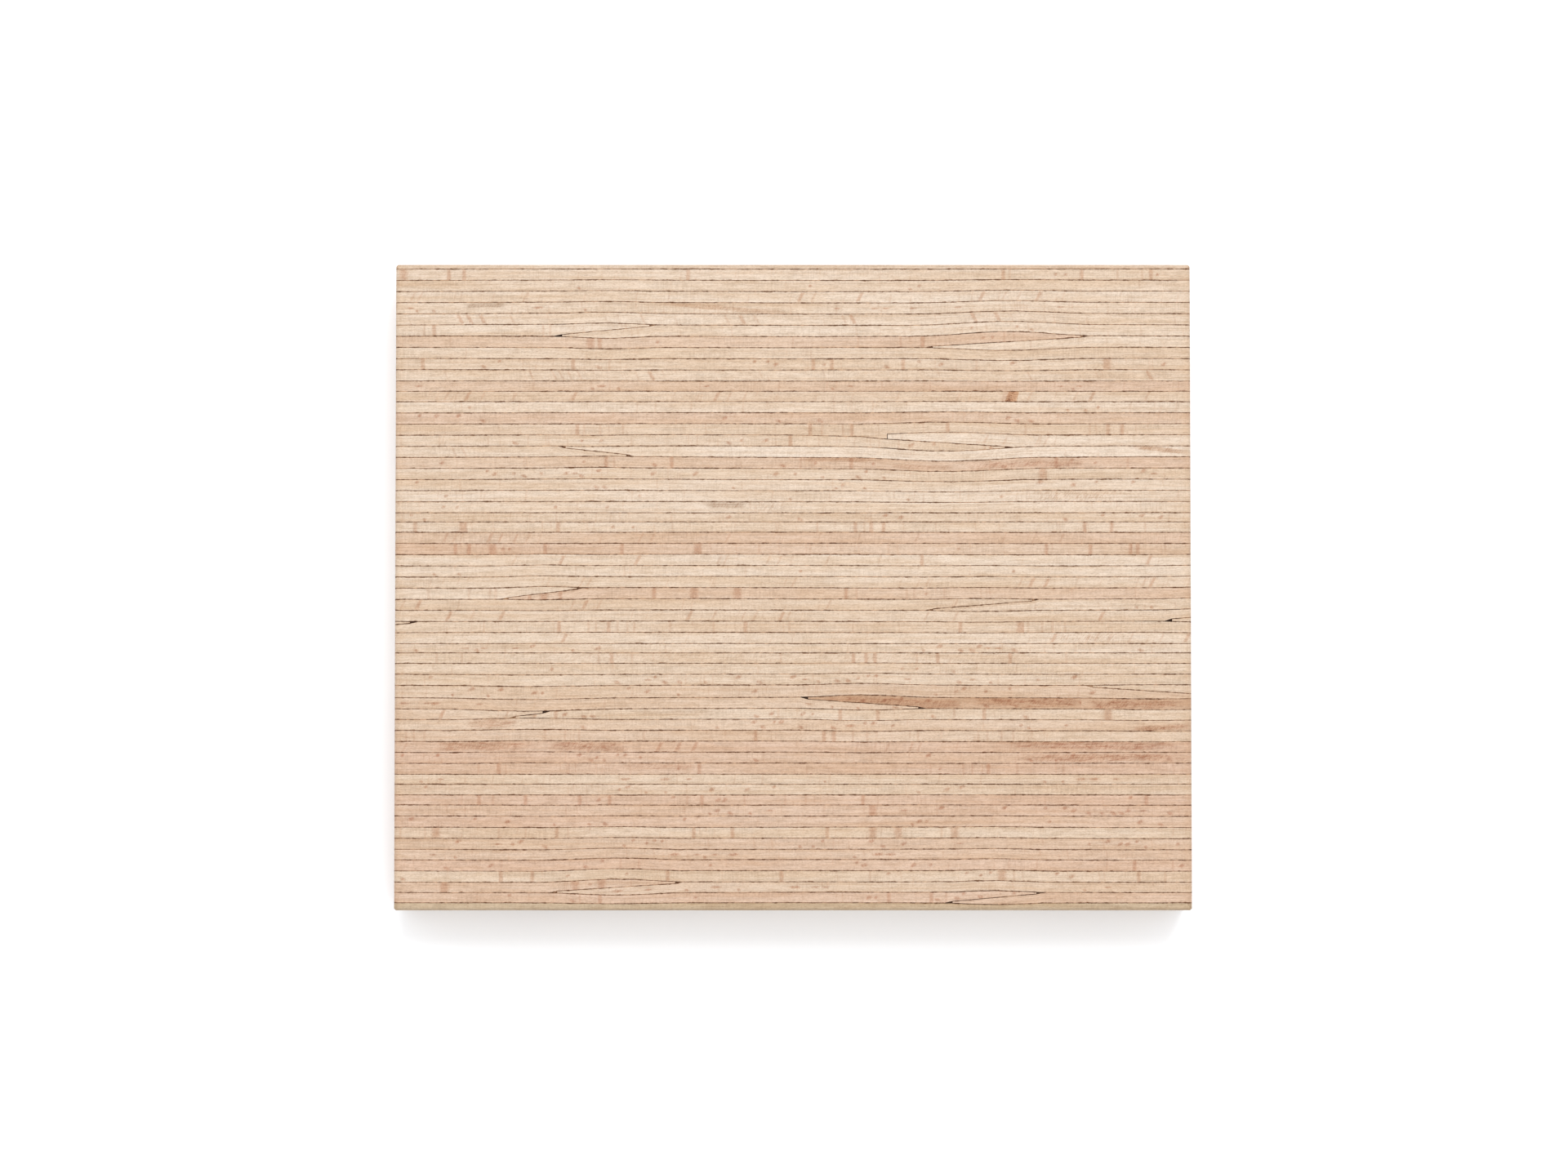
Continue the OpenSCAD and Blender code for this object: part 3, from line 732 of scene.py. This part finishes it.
class Veneer:
    """One solid veneer: its row, its outline along the grain and its figure."""

    def __init__(self, piece, lamella):
        self.piece, self.lamella = piece, lamella
        co = points(piece.data)
        self.start, self.end = co[:, 0].min(), co[:, 0].max()
        at_start = self.start < CAD_BOX[0][0] * 1000 + 1
        far = co[:, 0] < self.start + 2 if at_start else co[:, 0] > self.end - 2
        self.order = -co[far, 1].mean()
        self.full = at_start and self.end > CAD_BOX[1][0] * 1000 - 1
        self.row, self.marks = "", []

    def outline(self):
        """Stations along the grain with the back and front face there, in millimetres."""
        co = points(self.piece.data)
        along = np.round(co[:, 0], 3)
        x = np.unique(along)
        return (x, np.array([co[along == at, 1].max() for at in x]),
                np.array([co[along == at, 1].min() for at in x]))

    def draw_marks(self):
        """Draws this veneer's figure, as places along the grain and kinds: the bold marks, and groups
        of others between them."""
        chance = random.Random(f"{bpy.context.scene.panel_shape.seed} figure {self.row}")
        found = [(float(at), kind) for row, at, kind in BOLD_MARKS if row == self.row]
        kinds, often = next(((k, n) for k, n, rows in FIGURES if self.row in rows.split()), ("", 0))
        wanted = len(found) + round((self.end - self.start) * often / 100 * chance.uniform(0.8, 1.2))
        for _ in range(wanted * 10):
            centre = chance.uniform(self.start, self.end)
            for _ in range(chance.choice((1, 1, 2, 3, 4))):
                at = centre + chance.gauss(0, GROUP_SPREAD)
                clear = all(abs(at - other) > MARK_GAP for other, _ in found)
                if len(found) < wanted and clear and self.start + 1 < at < self.end - 1:
                    found.append((at, chance.choice(kinds)))
        self.marks = sorted(found)


def name_veneers(veneers, lamella):
    """Gives each veneer its row, by its place and which end of the panel it reaches."""
    veneers.sort(key=lambda v: v.order)
    left = list(veneers)
    for row in rows_of(lamella):
        side = row[-1] if row[-1] in "LR" else ""
        fits = [v for v in left[:3] if SIDES.get(row, side) == side_of(v)]
        if not fits:
            raise RuntimeError(f"no veneer of lamella {lamella} is where row {row} should be")
        fits[0].row = row
        fits[0].draw_marks()
        left.remove(fits[0])
    if left:
        raise RuntimeError(f"lamella {lamella} has {len(left)} veneers more than it has rows")


def rows_of(lamella):
    """The rows of a lamella's veneers from back to front."""
    first = (lamella - 1) * PLIES + 1
    return [f"{layer}{side}".strip() for layer in range(first, first + PLIES)
            for side in LAPPED.get(layer, " ")]


def side_of(veneer):
    """L for a veneer that only reaches the panel's left end, R for the right end."""
    return "" if veneer.full else "L" if veneer.start < CAD_BOX[0][0] * 1000 + 1 else "R"


def figure_of(veneer, co, depth, breadth):
    """Corner values for marks, streaks and the knot, each in the shape's own half sizes. The
    underside has its marks in the same places, with their kinds in the opposite order."""
    mesh = veneer.piece.data
    corner = np.empty(len(mesh.loops), int)
    mesh.loops.foreach_get("vertex_index", corner)
    face = np.repeat(np.arange(len(mesh.polygons)), [p.loop_total for p in mesh.polygons])
    middle = np.array([p.center.x for p in mesh.polygons]) * 1000
    upward = np.array([p.normal.z for p in mesh.polygons])
    x, down, broad = co[corner, 0], depth[corner], breadth[corner]

    mark = np.tile([OUTSIDE, OUTSIDE, 0.0], (len(corner), 1))
    marked = [kind for _, kind in veneer.marks]
    for side, kinds in ((1, marked), (-1, marked[::-1])):
        if not marked:
            continue
        at = np.array([place for place, _ in veneer.marks])
        shape = np.array([MARKS[kind] for kind in kinds])
        nearest = np.abs(middle[:, None] - at[None]).argmin(1)
        shown = (upward * side > 0.3) & (np.abs(middle - at[nearest]) < MARK_REACH)
        here = shown[face]
        which = nearest[face]
        long, across, place, lean, strength, spot = (shape[which, i] for i in range(6))
        offset = down - place * np.interp(at[which], veneer.x, veneer.back - veneer.front)
        values = np.stack([(x - at[which] + lean * offset) / long, offset / across, strength + spot], 1)
        mark[here] = values[here]

    streak = np.tile([OUTSIDE, OUTSIDE, 0.0], (len(corner), 1))
    for row, kind, start, end, place0, place1, breadth_share, strength in STREAKS:
        if row == veneer.row:
            here = ((middle > start) & (middle < end))[face]
            t = (x - start) / (end - start)
            centre = place0 + (place1 - place0) * t
            values = np.stack([2 * t - 1, (down / np.maximum(broad, 0.01) - centre) / breadth_share,
                               np.full(len(x), STREAK_KINDS[kind] + strength)], 1)
            streak[here] = values[here]

    knot = np.full((len(corner), 3), OUTSIDE)
    row, place, share, long, high = KNOT
    if row == veneer.row:
        here = ((np.abs(middle - place) < KNOT_REACH) & (upward > 0.3))[face]
        offset = down - share * np.interp(place, veneer.x, veneer.back - veneer.front)
        values = np.stack([(x - place + 0.3 * offset) / long, offset / high, np.zeros(len(x))], 1)
        knot[here] = values[here]
    for name, values in (("mark", mark), ("streak", streak), ("knot", knot)):
        write(mesh, name, "FLOAT_VECTOR", "CORNER", values)


def shades_along(row, lamella, chance, count):
    """Colours of one veneer's wood at places along its length."""
    wood = bpy.context.scene.beech_wood
    # The front veneer's golden colour holds painted shade from the front arris as well as its own tone
    if row in (HEARTWOOD, GOLDEN):
        return np.array([tuple(wood.heart if row == HEARTWOOD else wood.golden)] * count)
    scale = np.array([tuple(c) for c in (wood.ivory, wood.plain, wood.copper)])
    base = WARMTH[lamella - 1] + chance.uniform(-STRAY, STRAY)
    base = next((warmth for warmth, rows in ODD_WARMTH.items() if row in rows.split()), base)
    places = [base + chance.uniform(-DRIFT, DRIFT) for _ in range(count)]
    steps = np.linspace(0, 1, len(scale))
    return np.stack([np.interp(places, steps, scale[:, i]) for i in range(3)], 1)


def dress_veneer(veneer):
    """Cuts one veneer across where its outline or its figure changes, and stores what its finish reads."""
    places = {round(float(v.co.x), 7) for v in veneer.piece.data.vertices}
    places = [at for at in places if veneer.start + 0.7 < at * 1000 < veneer.end - 0.7]
    at = [p for p, _ in veneer.marks]
    places += [(a + b) / 2 * MM for a, b in zip(at, at[1:]) if b - a > 0.3]
    places += [edge * MM for s in STREAKS if s[0] == veneer.row for edge in s[2:4]
               if veneer.start + 1 < edge < veneer.end - 1]
    if veneer.row == KNOT[0]:
        places += [(KNOT[1] - KNOT_REACH) * MM, (KNOT[1] + KNOT_REACH) * MM]
    step = bpy.context.scene.panel_shape.station
    cut_across(veneer.piece, sorted(p for p in places if abs(p / step - round(p / step)) > 1e-3))

    mesh = veneer.piece.data
    veneer.x, veneer.back, veneer.front = veneer.outline()
    co = points(mesh)
    back = np.interp(co[:, 0], veneer.x, veneer.back)
    front = np.interp(co[:, 0], veneer.x, veneer.front)
    depth, breadth = back - co[:, 1], back - front
    chance = random.Random(f"{bpy.context.scene.panel_shape.seed} {veneer.row}")
    start = np.array([chance.uniform(0, 700), chance.uniform(0, 90), chance.uniform(0, 90)])
    write(mesh, "grain", "FLOAT_VECTOR", "POINT", np.stack([co[:, 0], depth, co[:, 2]], 1) + start)
    no_resin = [OUTSIDE if veneer.row == outer else 0.0 for outer in ("1", str(LAMELLAS * PLIES))]
    write(mesh, "edges", "FLOAT_VECTOR", "POINT",
          np.stack([depth + no_resin[0], breadth - depth + no_resin[1], np.zeros(len(co))], 1))
    kinds = [kind for _, kind in veneer.marks]
    forward, backward = (sum(kinds.count(k) for k in leaning) for leaning in ("rR", "sS"))
    lean = 0.35 * (forward - backward) / max(3, len(kinds))
    figure = [lean + chance.uniform(-0.12, 0.12), chance.uniform(0.12, 0.5), 0.0]
    write(mesh, "figure", "FLOAT_VECTOR", "POINT", np.tile(figure, (len(co), 1)))
    length = veneer.end - veneer.start
    thirds = [veneer.start + length * share for share in (1 / 6, 1 / 2, 5 / 6)]
    tones = shades_along(veneer.row, veneer.lamella, chance, len(thirds))
    write(mesh, "tone", "FLOAT_COLOR", "POINT", np.stack(
        [np.interp(co[:, 0], thirds, tones[:, i]) for i in range(3)] + [np.ones(len(co))], 1))
    figure_of(veneer, co, depth, breadth)


# ------------------------------------------------------------------- where faces lie on the map

# The finish map of a piece is MAP cells wide and high. Faces lie on it at CELLS for each
# millimetre, the wood's top at FINE, from a margin at the left.
MAP, CELLS, FINE, MARGIN = 1024, 4.7, 9.0, 16
# Where each kind of face starts down the map, on a piece of wood and on one of resin films
WOOD_ROWS = {"top": 6, "top right": 319, "bottom": 632, "left": 798, "right": 798, "side": 898,
             "hidden": 998}
FILM_ROWS = {"top": 8, "bottom": 248, "left": 500, "right": 610, "side": 730, "hidden": 840}
# How far the wood's right end lies from its left end there, and how high the hidden faces stand
END_STEP, WOOD_HIDDEN, FILM_HIDDEN = 240, 18, 120
# From one film's strip to the next, and a strip's breadth
STRIP_STEP, STRIP = 18, 8
# The most cells across a film's end, and the most for each millimetre of it
END_CELLS, MOST_STRETCH = 980, 25


def sort_faces(mesh):
    """Each face's kind: the panel's top, bottom, an end or a side, or hidden between two veneers."""
    low, high = (np.array(corner) * 1000 for corner in CAD_BOX)
    kinds = []
    for polygon in mesh.polygons:
        normal, centre = polygon.normal, np.array(polygon.center) * 1000
        if abs(normal.z) > 0.5:
            kinds.append("top" if normal.z > 0 else "bottom")
        elif abs(normal.x) > 0.5 and min(centre[0] - low[0], high[0] - centre[0]) < 0.6:
            kinds.append("left" if centre[0] < 0 else "right")
        elif abs(normal.y) > 0.5 and min(centre[1] - low[1], high[1] - centre[1]) < 0.6:
            kinds.append("side")
        else:
            kinds.append("hidden")
    return kinds


def lay_out(piece, strips):
    """Lays a piece's faces on its finish map. Veneers keep their shape there; thin films of resin
    are straightened into one strip each."""
    mesh = piece.data
    co = points(mesh)
    low, high = (np.array(corner) * 1000 for corner in CAD_BOX)
    back, half = co[:, 1].max(), (high[0] - low[0]) / 2
    breadth = back - co[:, 1].min()
    kinds = sort_faces(mesh)
    uv = mesh.uv_layers.new(name="OFBake")
    rank = strip_ranks(mesh, co, kinds) if strips else {}
    place = np.zeros((len(mesh.loops), 2))
    for polygon, kind in zip(mesh.polygons, kinds):
        loops = range(polygon.loop_start, polygon.loop_start + polygon.loop_total)
        at = co[list(polygon.vertices)]
        x, y, z = at[:, 0] - low[0], back - at[:, 1], at[:, 2] - low[2]
        row = (FILM_ROWS if strips else WOOD_ROWS)[kind]
        u, v = MARGIN + x * CELLS, row + z * CELLS
        if kind in ("top", "bottom") and strips:
            v = row + rank[polygon.index] * STRIP_STEP + STRIP * across_film(at)
        elif kind == "top":
            right = polygon.center.x > 0
            u = MARGIN + (x - (half if right else 0)) * FINE
            v = (WOOD_ROWS["top right"] if right else row) + y * FINE
        elif kind == "bottom":
            v = row + y * CELLS
        elif kind in ("left", "right"):
            start = MARGIN + (END_STEP if kind == "right" and not strips else 0)
            u = start + y * (min(END_CELLS / breadth, MOST_STRETCH) if strips else CELLS)
        elif kind == "hidden":
            run = np.array([-polygon.normal.y, polygon.normal.x])
            along = at[:, :2] @ run
            u = MARGIN + x.min() * CELLS + (along - along.min()) * CELLS
            v = row + y / breadth * (FILM_HIDDEN if strips else WOOD_HIDDEN) + z * 0.02
        place[list(loops)] = np.stack([u, MAP - v], 1) / MAP
    uv.data.foreach_set("uv", place.astype(np.float32).ravel())


def across_film(at):
    """0 at a film's front edge and 1 at its back edge, for the corners of one face."""
    share = np.full(len(at), 0.5)
    for x in np.unique(np.round(at[:, 0], 3)):
        here = np.abs(at[:, 0] - x) < 0.002
        y = at[here, 1]
        if y.max() - y.min() > 1e-4:
            share[here] = (y - y.min()) / (y.max() - y.min())
    return share


def strip_ranks(mesh, co, kinds):
    """Which strip each flat face of a film takes, counted from the back at each station."""
    ranks = {}
    for kind in ("top", "bottom"):
        columns = {}
        for polygon, own in zip(mesh.polygons, kinds):
            if own == kind:
                at = co[list(polygon.vertices)]
                column = columns.setdefault(round(float(at[:, 0].min()), 2), [])
                column.append((-at[:, 1].mean(), polygon.index))
        for column in columns.values():
            for i, (_, index) in enumerate(sorted(column)):
                ranks[index] = i
    return ranks


# ---------------------------------------------------------------------------------- the pieces


def settle(piece, node):
    """Puts a finished piece on the panel in place of its CAD solids."""
    only(piece)
    bpy.ops.object.shade_flat()
    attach(piece, "root")
    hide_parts(node)


class BEECH_OT_veneers(bpy.types.Operator):
    """Make the veneers of every lamella, with their tones, figure, arrises and end grain"""
    bl_idname = "beech.veneers"
    bl_label = "Veneers"

    def execute(self, context):
        finishes = [finish_material("Sanded Beech", long_grain, 0.3),
                    finish_material("Beech End Grain", end_grain, 0.2),
                    finish_material("Beech Face Grain", face_grain, 0.3)]
        finish_of = {"left": 1, "right": 1, "side": 2}
        for lamella in range(1, LAMELLAS + 1):
            node = f"lamella_{lamella}_veneers"
            piece = own_copy(node, f"dressed_{node}")
            cut_across(piece, stations())
            only(piece)
            bpy.ops.object.mode_set(mode="EDIT")
            bpy.ops.mesh.select_all(action="SELECT")
            bpy.ops.mesh.separate(type="LOOSE")
            bpy.ops.object.mode_set(mode="OBJECT")
            veneers = [Veneer(part, lamella) for part in context.selected_objects]
            name_veneers(veneers, lamella)
            for veneer in veneers:
                dress_veneer(veneer)
            bpy.ops.object.select_all(action="DESELECT")
            for veneer in veneers:
                veneer.piece.select_set(True)
            context.view_layer.objects.active = veneers[0].piece
            bpy.ops.object.join()
            piece = context.view_layer.objects.active
            piece.name = piece.data.name = f"dressed_{node}"
            for finish in finishes:
                piece.data.materials.append(finish)
            kinds = sort_faces(piece.data)
            piece.data.polygons.foreach_set("material_index", [finish_of.get(kind, 0) for kind in kinds])
            lay_out(piece, strips=False)
            settle(piece, node)
        return {"FINISHED"}


# A film no thicker than FILM_T is plain, and one thicker by POOL_T is a pool, in millimetres
FILM_T, POOL_T = 0.24, 0.4
# How far resin looks like a pool, from 0 to 1: at least this where it stayed thick, and at most
# this elsewhere
LEAST_THICK, MOST_THIN = 0.5, 0.25


def fill_films(node, thick, finish):
    """One piece of resin films, with a note on each face of how thick the resin is there."""
    piece = own_copy(node, f"dressed_{node}")
    own = {round(float(v.co.x), 6) for v in piece.data.vertices}
    reach = CAD_BOX[1][0] - 0.0007
    wanted = sorted({at for at in own if abs(at) < reach} | {round(s, 6) for s in stations()})
    cut_across(piece, [at for at, before in zip(wanted, [-1] + wanted) if at - before > 5e-6])
    mesh = piece.data
    co = points(mesh)
    pool = []
    for polygon in mesh.polygons:
        at = co[list(polygon.vertices)]
        ends = [at[np.abs(at[:, 0] - x) < 0.01, 1] for x in (at[:, 0].min(), at[:, 0].max())]
        width = sum(float(end.max() - end.min()) for end in ends) / 2
        value = max(0.0, (width - FILM_T) / POOL_T) if abs(polygon.normal.z) > 0.5 else 0.0
        centre = at.mean(0)
        if any(x0 < centre[0] < x1 and y0 < centre[1] < y1 for x0, x1, y0, y1 in thick):
            value = max(value, LEAST_THICK)
        else:
            value = min(value, MOST_THIN)
        pool += [min(max(value, 0.0), 1.0)] * polygon.loop_total
    write(mesh, "pool", "FLOAT", "CORNER", pool)
    mesh.materials.append(finish)
    mesh.polygons.foreach_set("material_index", [0] * len(mesh.polygons))
    lay_out(piece, strips=True)
    settle(piece, node)
    return piece


class BEECH_OT_resin(bpy.types.Operator):
    """Make the films and pockets of hardened resin inside each lamella"""
    bl_idname = "beech.resin"
    bl_label = "Resin between the veneers"

    def execute(self, context):
        finish = finish_material("Hardened Resin", hard_resin, 0.1)
        for lamella in range(1, LAMELLAS + 1):
            fill_films(f"lamella_{lamella}_glue", [t[1:] for t in THICK_RESIN if t[0] == lamella], finish)
        return {"FINISHED"}


class BEECH_OT_seams(bpy.types.Operator):
    """Make the straight films of resin between the lamellas"""
    bl_idname = "beech.seams"
    bl_label = "Seams between the lamellas"

    def execute(self, context):
        finish = bpy.data.materials.get("Hardened Resin")
        finish = finish or finish_material("Hardened Resin", hard_resin, 0.1)
        fill_films("seam_glue", (), finish)
        return {"FINISHED"}


# Where the lamp hangs, its length and breadth, and the point of the face that the camera looks at
LAMP_PLACE, LAMP_SIZE = (0.33, 1.35, 1.94), (1.1, 1.2)
LOOKED_AT = (-0.00237, -0.0001)


class BEECH_OT_studio(bpy.types.Operator):
    """Set up the pale floor, the soft light and the camera over the panel"""
    bl_idname = "beech.studio"
    bl_label = "Studio"

    def execute(self, context):
        studio = context.scene.panel_studio
        bpy.ops.object.select_all(action="DESELECT")
        just_below = CAD_BOX[0][2] - 0.00002
        bpy.ops.mesh.primitive_plane_add(size=8, location=(0, 0, just_below))
        floor = context.object
        floor.name = "studio_floor"
        floor.data.materials.append(finish_material("Studio Floor", studio_floor, 0.2))

        world = bpy.data.worlds.new("Studio Light")
        world.use_nodes = True
        background = next(n for n in world.node_tree.nodes if n.type == "BACKGROUND")
        background.inputs["Color"].default_value = (1, 1, 1, 1)
        background.inputs["Strength"].default_value = studio.sky
        context.scene.world = world
        bpy.ops.object.light_add(type="AREA", location=LAMP_PLACE)
        lamp = context.object
        lamp.name = "soft_lamp"
        lamp.data.shape = "RECTANGLE"
        lamp.data.size, lamp.data.size_y = LAMP_SIZE
        lamp.data.energy = studio.lamp
        aim = Vector((0, 0, CAD_BOX[1][2])) - lamp.location
        lamp.rotation_euler = aim.to_track_quat("-Z", "Y").to_euler()

        context.scene.view_settings.view_transform = "Standard"
        context.scene.view_settings.look = "None"
        target = Vector((*LOOKED_AT, CAD_BOX[1][2]))
        away = Vector((0, -math.cos(studio.elevation), math.sin(studio.elevation)))
        eye = target + studio.distance * away
        turn = (target - eye).to_track_quat("-Z", "Y").to_euler()
        bpy.ops.object.camera_add(location=eye, rotation=turn)
        camera = context.object
        camera.name = "front_camera"
        camera.data.lens, camera.data.sensor_width = studio.lens, 36
        camera.data.clip_start, camera.data.clip_end = 0.01, 50
        context.scene.camera = camera
        return {"FINISHED"}


def studio_floor(b):
    """A matt white floor, very slightly uneven."""
    place = b.add("TexCoord").outputs["Object"]
    uneven = b.noise(b.scale(place, 0.35, 0.35, 0.35), 2.0)
    tint = b.mix(uneven, (0.87, 0.885, 0.91), (0.885, 0.9, 0.92))
    return tint, b.math("MULTIPLY_ADD", uneven, 0.1, 0.8), uneven, 0.0001


class BEECH_PT_panel(bpy.types.Panel):
    """The steps that make the panel, in order, with what a user would change"""
    bl_label = "Beech Panel"
    bl_idname = "BEECH_PT_panel"
    bl_space_type = "VIEW_3D"
    bl_region_type = "UI"
    bl_category = "Beech Panel"

    def draw(self, context):
        for group in PROPERTIES:
            box = self.layout.box()
            settings = getattr(context.scene, group)
            for name in PROPERTIES[group].__annotations__:
                box.prop(settings, name)
        for operator in OPERATORS:
            self.layout.operator(operator.bl_idname)


PROPERTIES = {"beech_wood": BeechWood, "hard_resin": HardResin, "panel_shape": PanelShape,
              "panel_studio": PanelStudio}
OPERATORS = (BEECH_OT_veneers, BEECH_OT_resin, BEECH_OT_seams, BEECH_OT_studio)


def register():
    for kind in (*PROPERTIES.values(), *OPERATORS, BEECH_PT_panel):
        bpy.utils.register_class(kind)
    for name, kind in PROPERTIES.items():
        setattr(bpy.types.Scene, name, PointerProperty(type=kind))


def unregister():
    for name in PROPERTIES:
        delattr(bpy.types.Scene, name)
    for kind in reversed((*PROPERTIES.values(), *OPERATORS, BEECH_PT_panel)):
        bpy.utils.unregister_class(kind)


def main():
    register()
    make_effects()
    bpy.ops.beech.veneers()
    bpy.ops.beech.resin()
    bpy.ops.beech.seams()
    bpy.ops.beech.studio()


if __name__ == "__main__":
    main()
